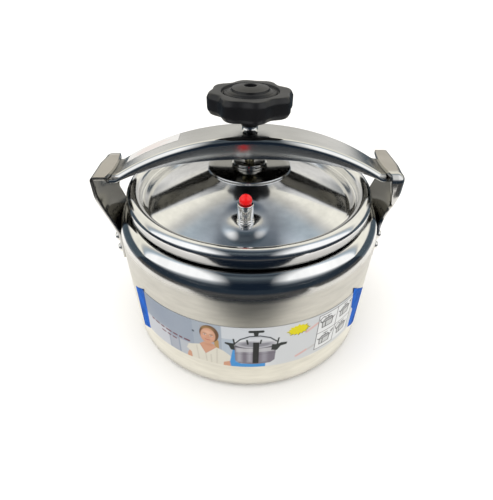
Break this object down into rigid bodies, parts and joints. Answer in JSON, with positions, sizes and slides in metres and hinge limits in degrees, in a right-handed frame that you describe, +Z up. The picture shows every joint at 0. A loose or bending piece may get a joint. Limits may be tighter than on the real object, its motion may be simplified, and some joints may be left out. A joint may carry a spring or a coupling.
{
  "type": "pressure canner",
  "caption": "Round metal pressure canner: a domed lid clamped by an arched crossbar under hook brackets, with a lobed screw knob and a vent valve.",
  "frame": {"origin": "centre of the pot's base, on the surface it stands on", "axes": "+Z up along the pot's axis; +X along the clamp bar, towards the viewer's right when the vent valve faces the viewer; -Y towards the vent valve and the printed wrap"},
  "size_m": [0.2546, 0.2306, 0.2183],
  "materials": {
    "pot_aluminium": "satin, with fine turning lines round the wall and a bright shoulder",
    "lid_aluminium": "polished",
    "rivet_aluminium": "bright, as headed",
    "polished_steel": "polished, satin on the flat tops",
    "zinc_steel": "yellow zinc plate",
    "brass": "machined",
    "rubber": "matt",
    "black_plastic": "satin moulded phenolic",
    "red_plastic": "gloss",
    "wrap_paper": "coated printed paper",
    "tape_blue": "creped paper tape",
    "sticker_paper": "uncoated paper"
  },
  "bodies": {
    "pot": {"pot_body": "pot_aluminium", "hook_bracket_right": "polished_steel", "hook_bracket_left": "polished_steel", "rivet_right_front_low": "rivet_aluminium", "rivet_right_front_high": "rivet_aluminium", "rivet_right_back_low": "rivet_aluminium", "rivet_right_back_high": "rivet_aluminium", "rivet_left_front_low": "rivet_aluminium", "rivet_left_front_high": "rivet_aluminium", "rivet_left_back_low": "rivet_aluminium", "rivet_left_back_high": "rivet_aluminium", "wrap_label": "wrap_paper", "label_tape_left": "tape_blue", "label_tape_right": "tape_blue"},
    "lid": {"lid_shell": "lid_aluminium", "lid_gasket": "rubber", "pressure_pad": "polished_steel", "thrust_washer": "brass", "valve_sleeve": "lid_aluminium", "valve_nozzle": "brass", "valve_seal": "rubber", "valve_nut": "brass", "valve_spring": "polished_steel"},
    "valve": {"valve_plunger": "polished_steel", "valve_cap": "red_plastic"},
    "bar": {"crossbar": "polished_steel", "crossbar_nut": "polished_steel", "bar_sticker": "sticker_paper"},
    "screw": {"spindle": "zinc_steel", "knob": "black_plastic", "knob_screw": "polished_steel"}
  },
  "joints": [
    {"name": "lid_rise", "type": "slide", "parent": "pot", "child": "lid", "axis": [0, 0, 1], "range_m": [0, 0.006]},
    {"name": "knob_turn", "type": "hinge", "parent": "lid", "child": "screw", "pos_m": [0, 0, 0.2], "axis": [0, 0, 1], "range_deg": [0, 720]},
    {"name": "bar_swing", "type": "hinge", "parent": "pot", "child": "bar", "pos_m": [0, 0, 0.18], "axis": [0, 0, 1], "range_deg": [0, 55]},
    {"name": "valve_lift", "type": "slide", "parent": "lid", "child": "valve", "axis": [0, 0, 1], "range_m": [0, 0.003], "stiffness_N_per_m": 300, "springref_m": -0.00215, "deforming": ["valve_spring"]}
  ],
  "couplings": [
    {"joint": "lid_rise", "follows": "knob_turn", "m_per_rad": 0.00047746}
  ]
}
